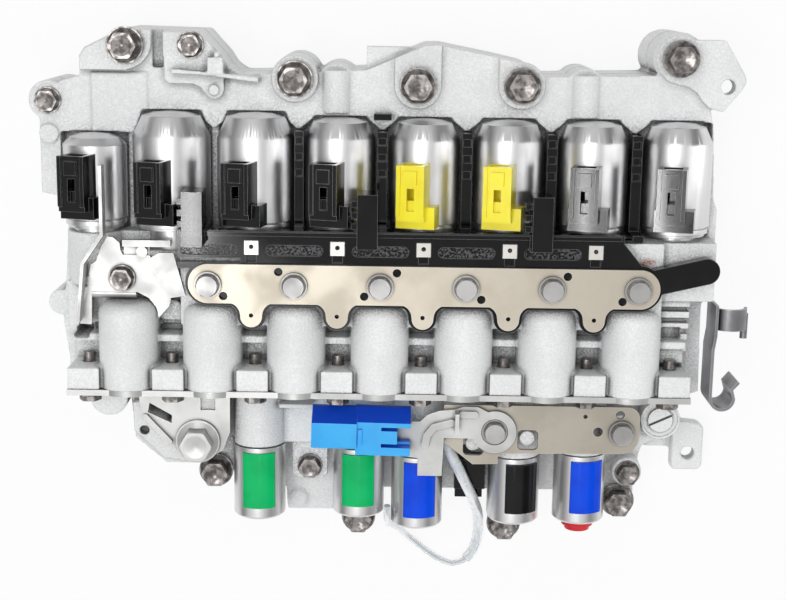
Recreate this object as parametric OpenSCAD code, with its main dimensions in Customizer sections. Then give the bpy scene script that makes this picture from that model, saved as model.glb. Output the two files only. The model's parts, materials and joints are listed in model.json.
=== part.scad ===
// Transmission valve body with linear solenoids, accumulators and shift solenoids.
// X runs along the solenoid row, Y from the cover side to the solenoid side,
// Z up from the mounting face. Millimetres.

/* [Layout] */
// spacing of the solenoids, accumulators and plate bolts
pitch = 34; // [33.4:0.2:35]
// X of the first accumulator
grid_x = -107.2; // [-108:0.2:-106.4]

/* [Castings] */
// height of the lower casting
lower_h = 22; // [20:0.5:26]
// thickness of the separator plate
sep_t = 1.5; // [1:0.1:2]
// thickness of the upper casting's floor
slab_h = 10.5; // [9:0.5:11]
// height of the bolting ledge above the separator plate
ledge_h = 18.5; // [17:0.5:20]
// height of the solenoid axes above the separator plate
axis_h = 20.5; // [20:0.25:22]

/* [Linear solenoids] */
// radius of the two large cans
can_r_big = 15.6; // [15:0.1:16]
// radius of the five middle cans
can_r_mid = 14.1; // [13.4:0.1:15]
// radius of the small can
can_r_small = 12.7; // [12:0.1:13]
// length of the large cans over the cone
can_len = 47; // [45:0.5:48]
// length of the cone at the free end of the middle cans
cone_len = 8.5; // [6:0.5:10]
// how far the cone of the middle cans tapers in
cone_in = 3.2; // [2:0.1:4]
// radius of the sleeve that plugs into the casting
sleeve_r = 9; // [8:0.1:9.5]
// length of the sleeve
sleeve_len = 22; // [18:0.5:24]

/* [Solenoid plugs] */
// turn of the plugs about the can axis
plug_turn = 14; // [10:1:17]
// width of the plug shroud
plug_w = 11.2; // [10.5:0.1:12]
// height of the plug shroud above the can
plug_h = 9.5; // [9:0.25:11]
// length of the plug shroud
plug_len = 22; // [20:0.5:23]
// wall of the plug shroud
plug_wall = 1.8; // [1.4:0.1:2]

/* [Accumulators] */
// outer radius of the accumulator barrels
barrel_r = 11.7; // [11:0.1:12]
// bore radius of the accumulators
acc_r = 8.2; // [7.8:0.1:8.6]
// radial running clearance of the pistons
piston_gap = 0.05; // [0.03:0.01:0.1]
// length of a piston
piston_len = 10; // [9:0.5:11]
// travel of a piston
piston_travel = 7; // [5:0.5:8]
// wire radius of the springs
spring_wire = 0.7; // [0.6:0.05:0.8]

/* [Plates] */
// thickness of the accumulator cover
cover_t = 2.4; // [2:0.1:3]
// thickness of the black harness frame
frame_t = 5.5; // [4.5:0.25:6.5]
// thickness of the retainer plate
plate_t = 2.2; // [1.6:0.1:2.6]
// thickness of the sheet brackets
sheet_t = 1.6; // [1.2:0.1:2]

/* [Shift solenoids] */
// radius of the shift solenoid cans
shift_r = 11; // [10.6:0.1:11.2]
// length of the shift solenoid cans
shift_len = 31; // [29:0.5:32]
// width of the coloured inserts
insert_w = 13.6; // [12:0.2:14.4]

/* [Fasteners] */
// shank radius of the large bolts
m6_r = 3; // [2.8:0.1:3.2]
// shank radius of the small bolts
m5_r = 2.5; // [2.3:0.1:2.6]
// radial clearance of the bolt holes
hole_gap = 0.3; // [0.2:0.05:0.5]
// radius of the two empty bolt holes
lug_hole_r = 2.9; // [2.7:0.1:3.2]

/* [Hidden] */
$fn = 64;
clear = 0.05;
eps = 0.01;

// stack heights
z_sep = lower_h;
z_up = z_sep + sep_t;
z_slab = z_up + slab_h;
z_ledge = z_up + ledge_h;
sol_z = z_up + axis_h;
z_block = sol_z + can_r_big + 0.9;
z_frame = z_block + frame_t;
z_plate = z_frame + plate_t;
acc_z = z_block - 4;
shift_z = z_up + 8.5;
z_low_plate = shift_z + shift_r + 3;

// places along the row were read at this spacing and ride along with the pitch
read_pitch = 34;
function along(x) = grid_x + (x - grid_x) * pitch / read_pitch;
function ride(x) = along(x) - x;
function spread(pts) = [for (p = pts) [along(p[0]), p[1]]];
function spread3(pts) = [for (p = pts) [along(p[0]), p[1], p[2]]];

// rows
sol_x = [along(-121.3), for (i = [0:6]) grid_x + pitch * (i + 0.5)];
sol_r = [can_r_small, can_r_big, can_r_big, for (i = [0:4]) can_r_mid];
sol_len = [for (d = [-9, 0, 0, for (i = [0:4]) -1.5]) can_len + d];
sol_cone = [for (k = [0.53, 1.18, 1.18, for (i = [0:4]) 1]) cone_len * k];
sol_taper = [for (k = [0.78, 1.22, 1.22, for (i = [0:4]) 1]) cone_in * k];
acc_x = [for (i = [0:6]) grid_x + pitch * i];
lug_x = [for (i = [0:7]) grid_x + pitch * (i - 0.5)];
seat_y = 28;
wall_y = 26.5;
// room behind the tip of a sleeve, and gap between a can and its cradle
bore_room = 2;
can_gap = 0.3;
ledge_y = 68.5;
acc_back = -9;
cover_y = -35.6;
barrel_end = -0.4;
bore_end = -6;

// shift solenoid places
shift_x = [for (x = [-56.2, -13.7, 11.4, 53, 81.1]) along(x)];
shift_y = [-66.8, -66.8, -70, -70, -68.4];
can_l = [for (d = [0.5, -1, 0.5, -2, -1]) shift_len + d];
GREEN = [0, 1];
BLUE = [2, 4];
BLACK = [3];
shift_sleeve_r = 7;
wing_y = -66;

// bolt places: x, y and the height of the seat
m6_at = spread3([[-107.8, 100.9, z_ledge + 2.5], [-40.6, 88.4, z_ledge + 1.5], [8.7, 86.4, z_ledge + 1.5],
    [50.4, 86.9, z_ledge + 1.5], [113, 98.6, z_ledge + 1.5], [-75.8, -82, z_sep],
    [-13.8, -104.4, 16], [50.3, -106.6, 16], [99.8, -94.5, 18]]);
m6_lift = 2;
m5_at = spread3([[-140, 78.4, z_ledge], [-82, 101.3, z_ledge + 2.5], [-34.9, -78.8, z_up + 3],
    [103, -80.6, z_up + 1], [-108.9, 9.1, z_sep + 33.6]]);
m5_head = 5.4;
m6_head = 8.6;
cover_bolt_z = z_block - 9;
cover_bolt_len = 15;
lug_len = 8.8;
z_flange = acc_z + 8.6;
plate_bolt_r = 2.4;
plate_bolt_y = 9;
low_bolt_at = spread([[43.1, -55.7], [96, -55.6]]);
window_at = spread([[34.5, -62], [57.1, -59.4]]);
pivot_at = [along(-81.4), -63.8];
z_latch = z_slab + 6;
z_clamp = m5_at[4][2];
hump_at = spread([[-24, 86], [76.2, 85.4]]);
plug_at = [along(113.1), -51.6];
ear_hole_at = [along(132.9), 87.7];
corner_hole_at = [along(130.7), -74.1];
z_ear = z_ledge + 1.5;

// place without its height
function xy(p) = [p[0], p[1]];
// points of a corner round about c, from angle a0 to a1
function arc(c, r, a0, a1) = [for (k = [0:6]) let (a = a0 + (a1 - a0) * k / 6) c + r * [cos(a), sin(a)]];
// points of a square with round corners
function rounded(c, half, r) = [for (k = [0:3]) let (a = 90 * k, d = half - r)
    each arc(c + d * [cos(a) - sin(a), sin(a) + cos(a)], r, a, a + 90)];

// cylinder from the origin along +Y
module ycyl(r, h) {
    rotate([-90, 0, 0]) cylinder(r = r, h = h);
}

// flat shape raised from z0 to z1
module slab(z0, z1) {
    translate([0, 0, z0]) linear_extrude(z1 - z0) children();
}

// box between two corners
module box(a, b) {
    translate(a) cube(b - a);
}

// upright disc from z0 to z1
module disc(p, r, z0, z1) {
    translate([p[0], p[1], z0]) cylinder(r = r, h = z1 - z0);
}

// chain of strips with round bends; the straights are a hair narrower, so no face is tangent
module chain(pts, r, z0, z1) {
    half = r - 0.03;
    for (p = pts) disc(p, r, z0, z1);
    for (i = [0:len(pts) - 2]) {
        d = pts[i + 1] - pts[i];
        translate([pts[i][0], pts[i][1], z0]) rotate(atan2(d[1], d[0])) translate([0, -half, 0])
            cube([norm(d), 2 * half, z1 - z0]);
    }
}

// straight strip with round ends
module pill(a, b, r, z0, z1) {
    chain([a, b], r, z0, z1);
}

// hexagon head on a conical flange, seat at z = 0; dish is the depth of its hollow,
// and heads without one are turned round at the top
module hex_head(af, flange_r, head, dish) {
    rim = 1.4;
    top_r = af * (dish > 0 ? 0.545 : 0.5);
    cylinder(r = flange_r, h = rim);
    translate([0, 0, rim]) cylinder(r1 = flange_r - 0.6, r2 = af / 2, h = 1.2);
    difference() {
        intersection() {
            cylinder(r = af / sqrt(3), h = head, $fn = 6);
            cylinder(r1 = top_r + head, r2 = top_r, h = head);
        }
        if (dish > 0) translate([0, 0, head - dish]) cylinder(r1 = 0.5, r2 = af * 0.41, h = dish + eps);
    }
}

// bolt with its seat at z = 0, shank down
module bolt(r, length, af, flange_r, head, dish) {
    hex_head(af, flange_r, head, dish);
    translate([0, 0, -length]) cylinder(r = r, h = length + eps);
}

// shared outline of the castings, from z0 to z1
module body_outline(z0, z1) {
    slab(z0, z1) polygon(spread([[-143.8, 41], [-143.8, 77], [-135, 86.2], [-127.2, 88.6],
        [-127, 96.5], [-125, 99.7], [-109.6, 107.4], [-78.5, 106.8], [-70, 97.5], [-67, 92.8],
        [-62.7, 90], [-30, 91], [-12, 92.3], [11.6, 102.5], [17.6, 102.6], [40.5, 98.2],
        [52.2, 95.6], [59.6, 90.6], [101.6, 91.6], [119, 94], [126.5, 79], [128.4, 71.5],
        [130, 42], [131.6, 38], [131.6, 21], [131, 2], [129, -4], [130, -41], [122, -44],
        [120, -58], [106, wing_y], [-66, wing_y], [-67, -63], [-82, -76], [-96, -76],
        [-109, -65], [-110.5, -48], [-110, -41], [-136.4, -41], [-136, -31], [-138.3, -14],
        [-136.7, 3.4], [-135.2, 26], [-139, 40]]));
    disc(m5_at[0], 8, z0, z1);
    disc([along(-139), -6.4], 5.3, z0, z1);
    disc(m6_at[1], 9.6, z0, z1);
    disc(m6_at[4], 10.4, z0, z1);
    disc(hump_at[0], 8.6, z0, z1);
    disc(hump_at[1], 8.6, z0, z1);
    disc(plug_at, 9, z0, z1);
}

// bolt holes through every layer
module case_holes() {
    for (p = m6_at) translate([p[0], p[1], -1]) cylinder(r = m6_r + hole_gap, h = z_plate);
    for (p = m5_at) translate([p[0], p[1], z_sep - 12]) cylinder(r = m5_r + hole_gap, h = z_plate);
}

module lower_valve_body() {
    color([0.78, 0.77, 0.74]) difference() {
        union() {
            body_outline(0, z_sep);
            slab(0, 16) polygon(spread([[-66, -60], [-66, -88], [-46, -92], [-45.4, -102.6], [-25, -102.6],
                [-23, -92], [92, -92], [106, -90], [110, -72], [119, -60]]));
            pill(xy(m6_at[6]), [m6_at[6][0], -88], 6.6, 0, m6_at[6][2]);
            pill(xy(m6_at[7]), [m6_at[7][0], -88], 6.6, 0, m6_at[7][2]);
            pill(xy(m6_at[8]), [m6_at[8][0], -84], 7.4, 0, m6_at[8][2]);
            pill(xy(m6_at[5]), [m6_at[5][0], -70], 7.4, 0, m6_at[5][2]);
            disc(m5_at[3], 6.5, 0, m5_at[3][2]);
            disc([along(-40.6), -97.6], 4.2, 0, 17.4);
            // corner lug
            translate([ride(130), 0, 0]) {
                slab(9, 16) polygon([[123.4, -62], [123.4, -80.6], [124.6, -81.8], [135.6, -81.8],
                    [137.4, -80], [137.4, -62.6], [134.6, -60.2], [126, -59.6]]);
                slab(0, 12) polygon([[112, -56], [112, -72.6], [124, -72.6], [127, -66], [127, -56]]);
            }
        }
        case_holes();
        disc(corner_hole_at, lug_hole_r, 0, z_sep);
        for (i = [0:4]) translate([shift_x[i], -130, shift_z])
            ycyl(shift_r + 0.6, 130 + wing_y);
        // oil ports in the mounting face
        for (i = [0:6]) translate([acc_x[i], 40, -1]) cylinder(r = 5, h = 13);
        for (i = [0:6]) translate([acc_x[i], -20, -1]) cylinder(r = 4, h = 13);
    }
}

module separator_plate() {
    color([0.55, 0.55, 0.54]) difference() {
        union() body_outline(z_sep, z_up);
        for (x = acc_x) disc([x, 40], 3, 0, z_slab);
        case_holes();
    }
}

// accumulator barrel along +Y with a rounded end
module barrel() {
    length = barrel_end - cover_y;
    round_r = 5;
    rotate([-90, 0, 0]) rotate_extrude() {
        square([barrel_r, length - round_r]);
        square([barrel_r - round_r, length]);
        translate([barrel_r - round_r, length - round_r]) circle(r = round_r);
    }
}

// bore block with the accumulator barrels
module bore_block() {
    x0 = lug_x[0] - 7;
    x1 = lug_x[7] + 7;
    left_x = sol_x[0] - 11.4;
    right_x = along(129);
    box([x0, cover_y, z_slab - 1], [x1, acc_back + 1, z_block - 16]);
    box([acc_x[1] - 12, acc_back, z_slab - 1], [acc_x[6] + 11, wall_y, z_block]);
    box([left_x, -12, z_slab - 1], [acc_x[1] - 11, wall_y, sol_z + 3]);
    box([acc_x[0] - 13, 5, z_slab - 1], [acc_x[1] - 11, 20, z_clamp]);
    box([acc_x[6] + 10, 2.6, z_slab - 1], [right_x, wall_y, z_block - 3]);
    // round boss of the first solenoid's bore
    translate([sol_x[0], 5, sol_z]) ycyl(11.3, seat_y - 0.2 - 5);
    box([left_x, -17, z_slab - 1], [left_x + 10, 6, sol_z + 6]);
    // ribbed column on the right
    box([lug_x[7] - 7, -25, z_slab - 1], [lug_x[7] + 6, 4, z_block - 12]);
    for (i = [0:4]) translate([lug_x[7] - 7, -19.6 + 4.6 * i, z_slab - 1])
        cube([13.8 + i * 0.2, 2.8, z_block - z_slab - 9]);
    for (x = acc_x) {
        translate([x, cover_y, acc_z]) barrel();
        box([x - barrel_r, cover_y, z_slab - 1], [x + barrel_r, barrel_end - 4, acc_z]);
    }
    // lugs of the cover bolts, and the lip above each pocket
    for (x = lug_x) {
        box([x - 6.4, cover_y, z_slab - 1], [x + 6.4, cover_y + lug_len, z_flange]);
        box([x - 5.6, -17.6, z_slab - 1], [x + 5.6, -14.6, cover_bolt_z + 4]);
    }
}

// raised round seats and ribs on the bolting ledge
module ledge_pads() {
    z0 = z_ledge - 1;
    slab(z0, m6_at[0][2]) polygon(spread([[-126.8, 91], [-126.6, 96], [-124.6, 99.4], [-109.5, 107],
        [-97.6, 107.2], [-97.8, 100.4], [-98.8, 97.4], [-101.6, 94], [-104.6, 92], [-108, 91]]));
    slab(z0, m5_at[1][2]) polygon(spread([[-93.2, 106.4], [-78.5, 106.5], [-73.5, 101], [-68.9, 92],
        [-68.9, 83.4], [-76.6, 82.4], [-78.4, 84.6], [-81.4, 85.9], [-91.4, 86], [-92.8, 87.6]]));
    for (i = [1:4]) disc(m6_at[i], 9.4, z0, m6_at[i][2]);
    // the two middle seats run out to the edge of the casting
    for (i = [2:3]) intersection() {
        box([m6_at[i][0] - 9.37, m6_at[i][1], z0], [m6_at[i][0] + 9.37, m6_at[i][1] + 18, m6_at[i][2]]);
        union() body_outline(z0, m6_at[i][2]);
    }
    disc([along(-140), 65], 4, z0, z_ledge + 1);
    // humps over the ends of two of the cans
    for (p = hump_at) translate([p[0], p[1] - 11, z_ledge - 4]) ycyl(7, 17);
    // step beside the first can
    box([along(-122.4), 66, z0], [along(-100), 90, z_ledge + 0.8]);
    // pin on the second pad, with the rail and the small clip beside it
    translate([ride(-73), 0, 0]) {
        disc([-72.8, 83.6], 3.8, z0, z_ledge + 2.5);
        disc([-72.8, 83.6], 2.2, z0, z_ledge + 4);
        slab(z0, z_ledge + 5) polygon([[-89.6, 92], [-89.6, 90], [-75, 89.4], [-54.7, 86.9], [-54.7, 89]]);
        box([-75.2, 90, z_ledge], [-68.9, 96.6, z_ledge + 5.5]);
        disc([-71.2, 97.8], 1.2, z0, z_ledge + 7);
    }
}

// thin ear with an empty hole, raised above the ledge
module ear() {
    translate([ride(ear_hole_at[0]), 0, 0]) slab(z_ear - 7.5, z_ear)
        polygon([[104.6, 95], [108.4, 89.7], [112.5, 88.4], [117.2, 87.3], [120.6, 85.1], [122.8, 81.8],
            [125.6, 79.2], [131.4, 77.6], [138.6, 86.4], [140.2, 89.4], [139.8, 92], [131.2, 106],
            [113, 106]]);
}

// ledge along the solenoid side, with a tooth between each two cans
module ledge() {
    intersection() {
        union() body_outline(z_up, z_ledge);
        union() {
            box([-170, ledge_y + 4.6, z_up], [170, 120, z_ledge]);
            box([-170, 40, z_up], [sol_x[0] - 14, 80, z_ledge]);
            box([sol_x[0] - 15, 66, z_up], [acc_x[0] + 1.6, 80, z_ledge]);
            box([sol_x[7] + 14, 0, z_up], [170, 80, z_ledge]);
            for (x = acc_x) slab(z_up, z_ledge) polygon([[x - 0.8, ledge_y], [x + 0.8, ledge_y],
                [x + 8, ledge_y + 6], [x - 8, ledge_y + 6]]);
        }
    }
}

// room for linear solenoid i and its bore
module solenoid_room(i) {
    r = sol_r[i] + can_gap;
    end = sol_len[i] + seat_y - wall_y + can_gap;
    translate([sol_x[i], wall_y, sol_z]) rotate([-90, 0, 0]) rotate_extrude()
        polygon([[0, 0], [r, 0], [r, end - sol_cone[i] - 0.5], [r - sol_taper[i], end], [0, end]]);
    depth = sleeve_len + bore_room - (seat_y - wall_y);
    translate([sol_x[i], wall_y - depth, sol_z]) ycyl(sleeve_r + clear, depth + 1);
}

module upper_valve_body() {
    color([0.82, 0.81, 0.78]) difference() {
        union() {
            body_outline(z_up, z_slab);
            ledge();
            // plain blank tab
            box([along(-12), 90, z_ledge - 7], [along(8.4), 101.6, z_ledge - 2]);
            ear();
            ledge_pads();
            // ribs between the cans
            for (x = acc_x) box([x - 1.6, wall_y - 1, z_up], [x + 1.6, ledge_y + 1, z_ledge - 4]);
            bore_block();
            // wing with the bosses of the shift solenoids
            for (i = [0:4]) translate([shift_x[i], shift_y[i] + 0.4, shift_z])
                ycyl(shift_r - 0.2, cover_y - cover_t - 6 - shift_y[i]);
            translate([m5_at[2][0], m5_at[2][1], 0]) {
                box([-7.6, -4.4, z_up], [7.6, 20, m5_at[2][2]]);
                box([-6, -5.8, z_up], [6, 0, m5_at[2][2]]);
            }
            for (p = low_bolt_at) disc(p, 7, z_up, z_low_plate);
            // posts seen through the windows of the lower plate
            for (p = window_at) disc(p, 3.2, z_up, z_low_plate - 0.4);
            slab(z_up, z_latch) polygon(spread([[-109, -48], [-108.6, -60], [-96, -72], [-82, -74],
                [-70, -66], [-68, -44], [-84, -42]]));
            disc(plug_at, 8.4, z_up, z_slab + 8);
            // saddle between the first two barrels and a thin rib by the connector
            disc([lug_x[1], -6.4], 5.2, z_slab - 1, z_clamp - 5);
            box([along(-47), -48.6, z_up], [along(-32.8), -46.8, shift_z + shift_r]);
            pill([along(-119.7), -47], [along(-119.7), -40], 8, z_up, z_slab + 1.8);
        }
        for (i = [0:7]) solenoid_room(i);
        // accumulator bores
        for (x = acc_x) translate([x, cover_y - 1, acc_z]) ycyl(acc_r, bore_end - cover_y + 1);
        for (x = lug_x) translate([x, cover_y - 1, cover_bolt_z])
            ycyl(m5_r + hole_gap, cover_bolt_len);
        // pockets that show the tips of the cover bolts
        for (x = lug_x) {
            box([x - 5, cover_y + lug_len, cover_bolt_z - 2], [x + 5, -17.6, z_block + 9]);
            box([x - 4, -14.6, cover_bolt_z - 6], [x + 4, acc_back - 0.5, z_block + 9]);
        }
        // slot beside the first solenoid's boss
        box([sol_x[0] - 8, -16.6, sol_z - 9], [sol_x[0] - 2, -12.6, z_block]);
        // shift solenoid bores
        for (i = [0:4]) translate([shift_x[i], shift_y[i] - 1, shift_z]) ycyl(shift_sleeve_r + clear, 19);
        case_holes();
        for (i = [1:6]) disc([acc_x[i], plate_bolt_y], plate_bolt_r + hole_gap, z_block - 14, z_plate);
        for (p = low_bolt_at) disc(p, plate_bolt_r + hole_gap, z_up + 2, z_plate);
        disc(pivot_at, 4 + hole_gap, z_up + 2, z_plate);
        slab(z_latch - 9, z_latch + 1) polygon(latch_slot);
        disc([along(-104.2), -60], 2, z_latch - 4, z_latch + 1);
        disc(ear_hole_at, lug_hole_r, z_up, z_plate);
        disc(plug_at, 7.2 + clear, z_slab + 2, z_plate);
        box([along(-97.6), 92, z_ledge - 3], [along(-93.3), 110, z_ledge + 4]);
        box([-170, -130, 0], [170, 130, z_up]);
    }
}

module accumulator_cover() {
    y0 = cover_y - cover_t;
    color([0.62, 0.61, 0.58]) difference() {
        union() {
            box([lug_x[0] - 6.8, y0, z_slab + 2], [lug_x[7] + 6.8, cover_y, z_flange + 0.6]);
            for (x = acc_x) translate([x, y0, acc_z]) ycyl(barrel_r - 0.4, cover_t);
        }
        for (x = lug_x) translate([x, y0 - 1, cover_bolt_z]) ycyl(m5_r + hole_gap, cover_t + 2);
    }
}

module case_bolts() {
    color([0.36, 0.33, 0.3]) for (p = m6_at) translate([p[0], p[1], p[2] + m6_lift])
        bolt(m6_r, p[2] + m6_lift - 1, 10, 7.4, m6_head, 0.9);
}

module body_bolts() {
    color([0.36, 0.33, 0.3]) {
        for (p = m5_at) translate(p + [0, 0, p == m5_at[4] ? sheet_t : 0])
            bolt(m5_r, p[2] - z_sep + 10, 8, 5.4, m5_head, 0.7);
        for (x = lug_x) translate([x, cover_y - cover_t, cover_bolt_z]) rotate([90, 0, 0])
            bolt(m5_r, cover_bolt_len, 8, 5.4, m5_head, 0.7);
    }
}

module plate_bolts() {
    color([0.5, 0.49, 0.46]) {
        for (i = [1:6]) translate([acc_x[i], plate_bolt_y, z_plate])
            bolt(plate_bolt_r, z_plate - z_block + 12, 8, 5.3, 4.6, 0);
        for (p = low_bolt_at) translate([p[0], p[1], z_low_plate + plate_t])
            bolt(plate_bolt_r, z_low_plate + plate_t - z_up - 4, 8, 5.3, 4.6, 0);
    }
}

module pivot_bolt() {
    color([0.8, 0.79, 0.74]) translate([pivot_at[0], pivot_at[1], z_latch + sheet_t])
        bolt(4, z_latch + sheet_t - z_up - 4, 12, 9.3, 9.5, 0.6);
}

// plate with bell-shaped lobes between the barrels, grown by m all round
module lobed(m, z0, z1) {
    y = plate_bolt_y + 0.3;
    side_y = -3.3;
    side_x = 9.5;
    pill([acc_x[1], y], [acc_x[6] + 0.8, y], 7.9 + m, z0, z1);
    for (i = [1:5]) translate([sol_x[i + 1], 0, 0]) {
        difference() {
            box([-side_x, side_y, z0], [side_x, 2.4, z1]);
            for (k = [-1, 1]) disc([k * side_x, side_y], 5.1 - m, z0 - 1, z1 + 1);
        }
        disc([0, -3.8], 4.3 + m, z0, z1);
    }
}

module retainer_plate() {
    color([0.58, 0.55, 0.5]) difference() {
        union() lobed(0, z_frame, z_plate);
        for (i = [1:6]) disc([acc_x[i], plate_bolt_y], plate_bolt_r + hole_gap, z_block, z_plate + 1);
        for (i = [1:5]) disc([sol_x[i + 1], -3.3], 0.9, z_block, z_plate + 1);
        for (p = spread([[-67.2, 4.4], [-45.4, 14.4], [1.4, 14.6], [-11.4, 5], [34.9, 4.4], [68.8, 14.2],
            [90.8, 4.4]])) disc(p, 1.7, z_block, z_plate + 1);
    }
}

frame_y0 = 15;
frame_y1 = 30.4;
post_x = [for (i = [0:2]) acc_x[1 + 2 * i] - 5.2];
tab_y = 23.6;
recess_y = 22.6;

// finger of the frame in the gap between cans i and i + 1, with small windows
module harness_finger(i) {
    x0 = sol_x[i] + sol_r[i] + 0.3;
    x1 = sol_x[i + 1] - sol_r[i + 1] - 0.3;
    mid = (x0 + x1) / 2;
    half = min(2.1, (x1 - x0) / 2);
    z0 = z_ledge - 3.7;
    difference() {
        union() {
            box([mid - half, wall_y + 0.4, z0], [mid + half, ledge_y - 0.3, sol_z + 6]);
            box([mid - half, wall_y + 0.4, z0], [mid + half, frame_y1 - 0.6, z_block + 1]);
        }
        for (y = [50:6.4:63]) box([mid - half + 0.5, y, sol_z + 3], [mid + half - 0.5, y + 3, sol_z + 7]);
    }
}

module harness_frame() {
    bar_x0 = acc_x[1] - 12;
    color([0.05, 0.05, 0.05]) difference() {
        union() {
            lobed(1.4, z_block, z_frame);
            box([bar_x0, frame_y0, z_block], [acc_x[6] - 6, frame_y1, z_frame]);
            slab(z_block, z_frame) polygon([[acc_x[6] - 7, frame_y1 - 2], [acc_x[6] - 4, 25],
                [acc_x[6] + 3, 16.4], [acc_x[6] - 10, 17.2]]);
            pill([acc_x[6] + 3, 10.8], [along(124), 16.6], 5.2, z_block, z_frame);
            // rim along the solenoid side
            box([bar_x0 + 1, frame_y1 - 2, z_frame - 1], [acc_x[6] - 7, frame_y1 - 0.4, z_frame + 1.4]);
            for (x = post_x) {
                box([x - 4, 25, z_block + 0.4], [x + 4, 46.5, z_frame + 9.5]);
                for (j = [0:2]) translate([x, 32 + 4.4 * j, z_block])
                    box([-6.4, 0, 1], [-3, 2.4, frame_t + 4]);
            }
            for (i = [2:6]) harness_finger(i);
            // strap that carries the last finger
            box([acc_x[6] - 8, wall_y + 0.4, z_block - 5], [acc_x[6] + 2, wall_y + 1.3, z_block + 1]);
            // head of the clip that holds the frame to the ledge
            translate([acc_x[3], 74, z_ledge + 0.1]) box([-3.6, -1.3, 0], [3.6, 1.3, 5.4]);
        }
        for (i = [1:6]) disc([acc_x[i], plate_bolt_y], plate_bolt_r + hole_gap, z_slab, z_plate);
        // step down at the left end, long recesses along the bar and seats of the contact tabs
        box([bar_x0 - 1, 17.3, z_block - 1], [acc_x[1] + 12.6, 19.3, z_plate]);
        for (x = [for (i = [1:5]) acc_x[i]])
            pill([x - 9, recess_y], [x + 9, recess_y], 2.2, z_frame - 0.8, z_frame + 0.9);
        for (i = [2:6]) translate([sol_x[i], tab_y, z_frame]) {
            box([-2.9, -2.9, -0.8], [2.9, 2.9, 1]);
            box([-2, -5.8, -2], [2, -2, 1]);
        }
    }
}

module contact_tabs() {
    color([0.82, 0.8, 0.74]) for (i = [1:5]) slab(z_frame - 0.8, z_frame + 0.3) difference() {
        translate([sol_x[i + 1] - 2.8, tab_y - 2.8]) square(5.6);
        translate([sol_x[i + 1], tab_y + 0.4]) circle(r = 0.9);
    }
}

module lower_plate() {
    z0 = z_low_plate;
    z1 = z0 + plate_t;
    color([0.58, 0.55, 0.5]) difference() {
        slab(z0, z1) polygon(spread(concat([[22, -44.6]], arc([98.6, -49.6], 5, 90, 0),
            arc([96.4, -57.6], 7.2, 0, -90), [[46.4, -65.4], [44.8, -67], [44.8, -70], [34.3, -70.2],
            [22.3, -60.8]])));
        for (p = low_bolt_at) disc(p, plate_bolt_r + hole_gap, z_up, z1 + 1);
        for (p = window_at) slab(z0 - 1, z1 + 1) polygon(rounded(p, 4.4, 2));
        for (p = spread3([[95.3, -48, 1.9], [86.3, -55.4, 2], [80.8, -48.8, 0.9], [46.4, -62.4, 1.5]]))
            disc(p, p[2], z_up, z1 + 1);
    }
}

// left clamp: bolted sheet with a raised wing, a rolled edge and a strip on edge beside the first solenoid
module left_clamp() {
    z1 = z_clamp + sheet_t;
    z_wing = z_block + 0.3;
    color([0.8, 0.79, 0.76]) translate([ride(-108.9), 0, 0]) difference() {
        union() {
            slab(z_clamp, z1) polygon([[-121.6, 14.1], [-119.3, 15.5], [-117.1, 21.6], [-114.7, 25.7],
                [-112.4, 25.4], [-109.8, 23.1], [-109.5, 20.1], [-108.6, 18.4], [-97.9, 18.2],
                [-96.6, 16.5], [-92.8, 7.8], [-89.6, 0.3], [-90.3, -2.4], [-94.6, -7.3], [-94.9, -5],
                [-95.5, -3], [-96.5, -1.6], [-98.4, 0.8], [-102.9, 3.2], [-121.4, 3.2],
                [-121.8, -10.4], [-126.4, -10.2], [-124.6, -1], [-123.4, 3]]);
            // wing folded up over the bore block
            slab(z_clamp + 0.4, z_wing + 1.4)
                polygon([[-97.4, 17.6], [-96.2, 18.2], [-89.4, 2.2], [-90.4, 1.8]]);
            slab(z_wing, z_wing + 1.4) polygon([[-97.2, 17.8], [-93.4, 20.2], [-87.6, 20.2], [-83, 3],
                [-90.2, 1.8]]);
            // flange along the far edge, with the end of a pin before it
            box([-108.4, 22, z_clamp], [-89.2, 24.6, z_clamp + 3.2]);
            box([-108.2, 17.8, z_clamp], [-98, 23, z_clamp + 0.8]);
            translate([-100.8, 19.8, z_clamp]) cylinder(r = 2.2, h = 2.6);
            // rolled edge
            translate([-123, 2.3, z1 - 2]) rotate([0, 90, 0]) cylinder(r = 2, h = 19.4);
            // strip on edge and its foot
            slab(z_clamp + 3.4, z_clamp + 10) polygon([[-116, 55], [-114.8, 55], [-114.8, 27.2],
                [-122.6, 15.8], [-125, -8], [-126.2, -7.8], [-123.8, 16.2], [-116, 27.8]]);
            slab(z_clamp, z_clamp + 4) polygon([[-122.7, 15], [-123.7, 5], [-124.9, 5.2], [-123.9, 15.2]]);
            box([-124.2, 6, z_clamp], [-119, 9, z1]);
        }
        disc([-108.9, m5_at[4][1]], m5_r + hole_gap, z_up, z_plate);
    }
}

// dark slot of the latch plate
latch_slot = spread([[-101.6, -47.5], [-92.3, -52.8], [-92.4, -56.2], [-102.4, -51.6]]);
module latch_plate() {
    color([0.76, 0.75, 0.72]) {
        slab(z_latch, z_latch + sheet_t) difference() {
            polygon(spread([[-106, -44], [-105.6, -50], [-104.4, -53], [-92, -66.4], [-89, -69.5],
                [-80, -73], [-71, -68], [-67.9, -60], [-67.8, -41.6], [-84, -41.6]]));
            polygon(latch_slot);
            translate([along(-80.2), -50.4]) square([6.2, 7]);
            translate(pivot_at) circle(r = 4 + hole_gap);
        }
        // flap bent up along the slanted edge
        pill([along(-103.2), -53.2], [along(-93.2), -64], 1.1, z_latch + 0.5, z_latch + sheet_t + 1.6);
    }
}

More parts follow.
